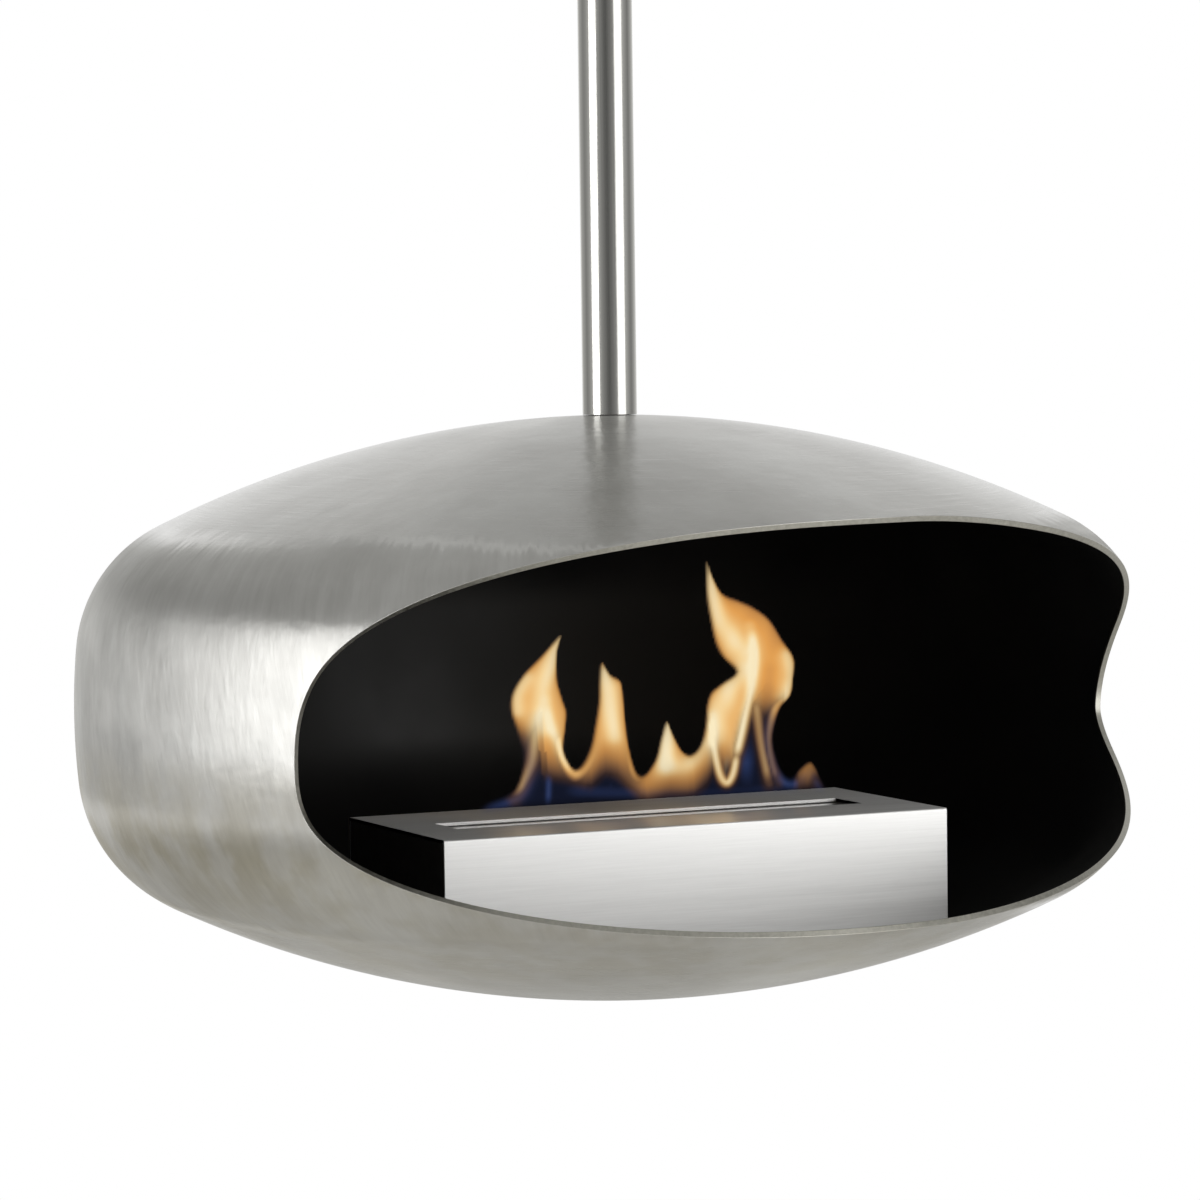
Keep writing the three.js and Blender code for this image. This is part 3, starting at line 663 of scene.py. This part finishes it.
def strands(lines, x, z):
    glow = np.zeros(x.shape)
    for level, width, path in lines:
        path = rounded(path)
        gap, _ = along_path(path, x, z)
        ends = [np.hypot(x - p[0], z - p[1]) for p in (path[0], path[-1])]
        fade = smooth(0, 3 * width, np.minimum(*ends))
        glow = np.maximum(glow, level * (0.35 + 0.65 * fade) * np.exp(-(gap / width) ** 2))
    return glow


def fire_fields(x, z):
    """At each (x, z): depth inside the outline, heat, blueness, and cover in front and behind."""
    outline = rounded(FIRE_OUTLINE)
    gap, warmth = along_path(outline, x, z)
    below = [(FIRE_OUTLINE[end][0], BURNER_TOP - 20, 0) for end in (-1, 0)]
    closed = np.vstack([outline, below])
    depth = np.where(inside_path(closed, x, z), gap, -gap)
    dark = np.interp(x, *zip(*DARK_UNDER))
    inner = smooth(0, FLAME_CORE, depth)
    lit = smooth(dark - 30, dark + 24, z)
    edge = smooth(-0.5, FLAME_SOFT, depth)
    foot = smooth(FIRE_FOOT, FIRE_FOOT + 16, z)
    seam = np.exp(-((depth - 5.0) / 4.6) ** 2) * smooth(-86, -50, z) * warmth
    lines = strands(STRANDS, x, z)
    body = lit * (0.3 + 0.7 * warmth)
    thick = np.maximum(body * (0.72 + 0.2 * inner), 0.62 * seam + lines)
    front = edge * foot * np.clip(thick, 0, 0.96)
    behind = edge * foot * body * inner * 0.6
    heat = 0.36 + 0.16 * inner * lit + glows(GLOWS, x, z) * lit + 0.12 * seam + 0.62 * lines
    heat *= 0.95 + 0.05 * np.sin(x / 4.2 + 1.4 * np.sin(z / 19.0))
    cool = np.exp(-((depth - 5) / 7.0) ** 2) * (1 - warmth) * 0.45 + 0.13
    cool = np.maximum(cool, strands(BLUE_STRANDS, x, z))
    blue = smooth(-1, 9, depth) * cool * (1 - front) * foot * (1 - lit)
    return depth, np.clip(heat, 0, 1), blue, front, behind


def make_flames():
    xs = np.arange(FLAME_LEFT, FLAME_RIGHT, FLAME_STEP)
    zs = np.arange(BURNER_TOP, FLAME_TOP, FLAME_STEP)
    x, z = np.meshgrid(xs, zs, indexing="ij")
    depth, heat, blue, front, behind = fire_fields(x, z)
    points, faces, levels = [], [], []
    for side, cover in ((-1, front), (1, behind)):
        first = len(points)
        index = -np.ones(x.shape, int)
        for i, j in zip(*np.where(depth > -FLAME_STEP)):
            bulge = FLAME_HALF_DEPTH * math.sqrt(min(1, max(0, depth[i, j]) / FLAME_ROUND))
            sway = 5 * math.sin(x[i, j] / 37) + 4 * math.sin(z[i, j] / 29 + 1)
            y = SLOT_Y + sway * smooth(-96, -30, z[i, j]) + side * bulge
            index[i, j] = len(points)
            points.append((x[i, j], y, z[i, j]))
            front_blue = blue[i, j] if side < 0 else 0
            levels.append((heat[i, j], front_blue, cover[i, j]))
        for i in range(len(xs) - 1):
            for j in range(len(zs) - 1):
                corners = (index[i, j], index[i + 1, j], index[i + 1, j + 1], index[i, j + 1])
                if min(corners) >= first:
                    faces.append(corners if side < 0 else corners[::-1])
    obj = new_object("flames", points, faces, "burner")
    for k, name in enumerate(("flame_heat", "flame_blue", "flame_cover")):
        layer = obj.data.attributes.new(name, "FLOAT", "POINT")
        layer.data.foreach_set("value", np.array([v[k] for v in levels], np.float32))
    return obj


def flame_light():
    """Glowing gas: cream where hot, orange elsewhere, faint blue at the foot."""
    material, tree, shader = new_material("flame_light", 0.0)
    heat, blue, cover = (
        node(tree, "ShaderNodeAttribute", attribute_name=name).outputs["Fac"]
        for name in ("flame_heat", "flame_blue", "flame_cover")
    )
    warm = ramp(tree, heat, [
        (0.25, (0.58, 0.25, 0.07)), (0.42, (0.80, 0.37, 0.09)), (0.58, (0.88, 0.50, 0.17)),
        (0.76, (0.96, 0.68, 0.32)), (1.0, (1.0, 0.86, 0.56)),
    ])
    cool = ramp(tree, blue, [
        (0.0, (0.06, 0.08, 0.20)), (0.4, (0.07, 0.12, 0.36)), (0.7, (0.16, 0.22, 0.50)),
    ])
    share = maths(tree, "DIVIDE", cover, maths(tree, "ADD", maths(tree, "ADD", cover, 0.02), blue))
    thin = maths(tree, "MULTIPLY", blue, BLUE_COVER)
    shader.inputs["Base Color"].default_value = (0, 0, 0, 1)
    shader.inputs["Roughness"].default_value = 1.0
    shader.inputs["Specular IOR Level"].default_value = 0.0
    shader.inputs["Emission Strength"].default_value = 1.0
    connect(
        tree, shader, Alpha=maths(tree, "MAXIMUM", cover, thin),
        Emission_Color=blend(tree, share, cool, warm),
    )
    return material


# ---- the object ----
steel = shell_steel()
pole_steel = drawn_steel(
    "pole_steel", (900, 900, 3), light=(0.68, 0.675, 0.65), dark=(0.58, 0.575, 0.55),
    low=0.12, high=0.17, depth=0.0001,
)
burner_steel = drawn_steel(
    "burner_steel", (14, 700, 700), light=(0.92, 0.915, 0.90), dark=(0.82, 0.815, 0.80),
    low=0.36, high=0.43, depth=0.0001, metallic=0.8, fold=0.0008,
)
spread_across(burner_steel, axis=(1, 0, 0), amount=0.85)
dark_steel = drawn_steel(
    "dark_steel", (6, 500, 500), light=(0.30, 0.28, 0.26), dark=(0.20, 0.19, 0.175),
    low=0.35, high=0.5, depth=0.0002,
)
plain_steel = drawn_steel(
    "plain_steel", (300, 300, 300), light=(0.56, 0.56, 0.56), dark=(0.46, 0.46, 0.46),
    low=0.34, high=0.5, depth=0.0002,
)
black = black_paint()
edge = cut_edge()
wool = ceramic_wool()

shell = make_wrapped_sheet("shell_skin", 0, SHELL_THICK, count=360, rings=96)
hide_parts("outer_shell")
wear(shell, steel)
liner = make_wrapped_sheet(
    "liner_skin", LINER_OFFSET, LINER_OFFSET + LINER_THICK, count=240, rings=64,
)
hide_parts("inner_liner")
wear(liner, black)
band = make_rim_band()
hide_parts("rim_band")
finish_rim_band(band, edge, steel)
pole = make_tube(
    "pole_skin", POLE_RADIUS, POLE_RADIUS - POLE_WALL, BODY_TOP + GAP, POLE_TOP, "fireplace",
)
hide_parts("pole_tube")
wear(pole, pole_steel)
flames = make_flames()
wear(flames, flame_light())
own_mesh(flames)

FINISHES = {
    "ceiling_cover": pole_steel,
    "burner_casing": burner_steel,
    "shutter": burner_steel,
    "burner_end_left": dark_steel,
    "burner_end_right": dark_steel,
    "burner_base": dark_steel,
    "fuel_tank": dark_steel,
    "wool_pad": wool,
    "crown_plate": black,
    "cradle_rail_left": black,
    "cradle_rail_right": black,
}
for name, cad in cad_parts.items():
    wear(cad, FINISHES.get(name, plain_steel))


# ---- camera ----
def make_camera():
    turn = math.radians(CAMERA_TURN)
    pan, tilt, roll = (math.radians(a) for a in (CAMERA_PAN, CAMERA_TILT, CAMERA_ROLL))
    place = Vector((
        math.sin(turn) * CAMERA_DISTANCE, -math.cos(turn) * CAMERA_DISTANCE, CAMERA_HEIGHT,
    ))
    ahead = -Vector((math.sin(turn), -math.cos(turn), 0))
    right = Vector((math.cos(turn), math.sin(turn), 0))
    up = Vector((0, 0, 1))
    ahead, right = (
        math.cos(pan) * ahead + math.sin(pan) * right,
        math.cos(pan) * right - math.sin(pan) * ahead,
    )
    ahead, up = (
        math.cos(tilt) * ahead - math.sin(tilt) * up,
        math.sin(tilt) * ahead + math.cos(tilt) * up,
    )
    right, up = (
        math.cos(roll) * right + math.sin(roll) * up,
        math.cos(roll) * up - math.sin(roll) * right,
    )
    data = bpy.data.cameras.new("camera")
    data.sensor_width = 36
    data.lens = CAMERA_LENS
    data.clip_end = 50
    camera = bpy.data.objects.new("camera", data)
    bpy.context.scene.collection.objects.link(camera)
    turned = Matrix((right, up, -ahead)).transposed().to_4x4()
    shifted = place + Vector((0, 0, BODY_Z))
    camera.matrix_world = Matrix.Translation(shifted * MM) @ turned
    bpy.context.scene.camera = camera


FLOOR_DEPTH = -2.6                   # metres below the ceiling
FLOOR_HALF = 40.0
FLOOR_FADE = (2.4, 4.1)              # distances between which the floor turns white
CEILING_RISE = (0.50, 0.72)          # sine of the elevations where white turns to ceiling
CEILING_GREY = (0.47, 0.47, 0.46, 1)
AMBIENT = (0.56, 0.56, 0.55, 1)      # what matt surfaces get from the room

# Grey walls round the object, apart from the white one behind it: (turn, brightness).
WALL_RADIUS = 6.0
WALL_TOP = 4.2
WALL_TONES = (
    (-178, 0.80), (-162, 0.48), (-145, 0.38), (-130, 0.27), (-117, 0.36), (-100, 0.52),
    (-62, 0.42), (-45, 0.25), (-25, 0.10), (-8, 0.20), (12, 0.40), (50, 0.55), (68, 0.34),
    (83, 0.24), (98, 0.40), (116, 0.62), (134, 0.80),
)

SOFTBOX_DISTANCE = 3.0
SOFTBOX_SPREAD = math.radians(140)   # a grid keeps the light off the floor beside the box
# Each one's brightness, turn, height over the body's centre, width and length.
SOFTBOXES = ((4.0, -81, 0.70, 1.5, 2.3), (1.9, 29, 0.22, 1.8, 3.0))


def light_seen(tree):
    """1 for what the eye sees straight, in metal or through glass, and 0 for matt surfaces."""
    path = node(tree, "ShaderNodeLightPath").outputs
    direct = maths(tree, "MAXIMUM", path["Is Camera Ray"], path["Is Glossy Ray"])
    return maths(tree, "MAXIMUM", direct, path["Is Transmission Ray"])


def make_world():
    """White all round, with a grey ceiling overhead, and a plain level on matt surfaces."""
    world = bpy.data.worlds.new("studio")
    world.use_nodes = True
    tree = world.node_tree
    tree.nodes.clear()
    way = node(tree, "ShaderNodeTexCoord").outputs["Generated"]
    height = node(tree, "ShaderNodeSeparateXYZ", {0: way}).outputs["Z"]
    overhead = scaled(tree, *CEILING_RISE, 0, 1, height)
    view = blend(tree, overhead, (1, 1, 1, 1), CEILING_GREY)
    color = blend(tree, light_seen(tree), AMBIENT, view)
    back = node(tree, "ShaderNodeBackground", {"Color": color, "Strength": 1.0})
    node(tree, "ShaderNodeOutputWorld", {"Surface": back.outputs[0]})
    bpy.context.scene.world = world


def stage_object(name, points, faces, material):
    mesh = bpy.data.meshes.new(name)
    mesh.from_pydata(points, [], faces)
    obj = bpy.data.objects.new(name, mesh)
    bpy.context.scene.collection.objects.link(obj)
    wear(obj, material)
    return obj


def floor_finish():
    """Pale matt floor that takes shadows and turns white in the distance."""
    material = bpy.data.materials.new("pale_floor")
    material.use_nodes = True
    tree = material.node_tree
    tree.nodes.clear()
    place = node(tree, "ShaderNodeTexCoord").outputs["Object"]
    flat = vector_maths(tree, "MULTIPLY", place, (1, 1, 0))
    reach = node(tree, "ShaderNodeVectorMath", {0: flat}, operation="LENGTH").outputs["Value"]
    far = scaled(tree, *FLOOR_FADE, 0, 1, reach)
    matt = node(tree, "ShaderNodeBsdfDiffuse", {"Color": (0.88, 0.87, 0.845, 1)})
    white = node(tree, "ShaderNodeEmission", {"Color": (1, 1, 1, 1), "Strength": 1.0})
    share = maths(tree, "MULTIPLY", far, light_seen(tree))
    mix = node(tree, "ShaderNodeMixShader", {0: share, 1: matt.outputs[0], 2: white.outputs[0]})
    node(tree, "ShaderNodeOutputMaterial", {"Surface": mix.outputs[0]})
    return material


def make_floor():
    corners = [(-1, -1), (1, -1), (1, 1), (-1, 1)]
    points = [(x * FLOOR_HALF, y * FLOOR_HALF, FLOOR_DEPTH) for x, y in corners]
    stage_object("floor", points, [(0, 1, 2, 3)], floor_finish())


def wall_finish():
    """The wall's own tone, which changes with the turn round the object."""
    material = bpy.data.materials.new("studio_wall")
    material.use_nodes = True
    material.cycles.emission_sampling = "NONE"
    tree = material.node_tree
    tree.nodes.clear()
    place = node(tree, "ShaderNodeTexCoord").outputs["Object"]
    split = node(tree, "ShaderNodeSeparateXYZ", {0: place}).outputs
    turn = maths(tree, "ARCTAN2", split["X"], maths(tree, "MULTIPLY", split["Y"], -1.0))
    stops = [((a + 180) / 360, (tone, tone, tone * 0.98)) for a, tone in WALL_TONES]
    tone = ramp(tree, scaled(tree, -math.pi, math.pi, 0, 1, turn), stops)
    glow = node(tree, "ShaderNodeEmission", {"Color": tone, "Strength": 1.0})
    node(tree, "ShaderNodeOutputMaterial", {"Surface": glow.outputs[0]})
    return material


def make_walls():
    """Curved grey walls at the sides and behind the camera, which the metal mirrors."""
    turns = np.radians(np.linspace(WALL_TONES[0][0], WALL_TONES[-1][0], 97))
    points, faces = [], []
    for i, turn in enumerate(turns):
        x, y = WALL_RADIUS * math.sin(turn), -WALL_RADIUS * math.cos(turn)
        points += [(x, y, FLOOR_DEPTH), (x, y, WALL_TOP)]
        if i:
            faces.append((2 * i - 2, 2 * i, 2 * i + 1, 2 * i - 1))
    walls = stage_object("walls", points, faces, wall_finish())
    walls.visible_camera = False
    walls.visible_shadow = False


def make_softbox(name, level, turn, height, width, length):
    data = bpy.data.lights.new(name, "AREA")
    data.shape = "RECTANGLE"
    data.size, data.size_y = width, length
    half = SOFTBOX_SPREAD / 2
    data.spread = SOFTBOX_SPREAD
    data.energy = level * math.pi * width * length * (1 - half / math.tan(half))
    lamp = bpy.data.objects.new(name, data)
    lamp.visible_camera = False
    bpy.context.scene.collection.objects.link(lamp)
    a = math.radians(turn)
    place = Vector((math.sin(a), -math.cos(a), 0)) * SOFTBOX_DISTANCE
    lamp.location = place + Vector((0, 0, BODY_Z * MM + height))
    lamp.rotation_mode = "QUATERNION"
    lamp.rotation_quaternion = place.to_track_quat("Z", "Y")


make_camera()
make_world()
make_floor()
make_walls()
for number, sizes in enumerate(SOFTBOXES, 1):
    make_softbox(f"softbox_{number}", *sizes)
bpy.context.scene.view_settings.view_transform = "Standard"
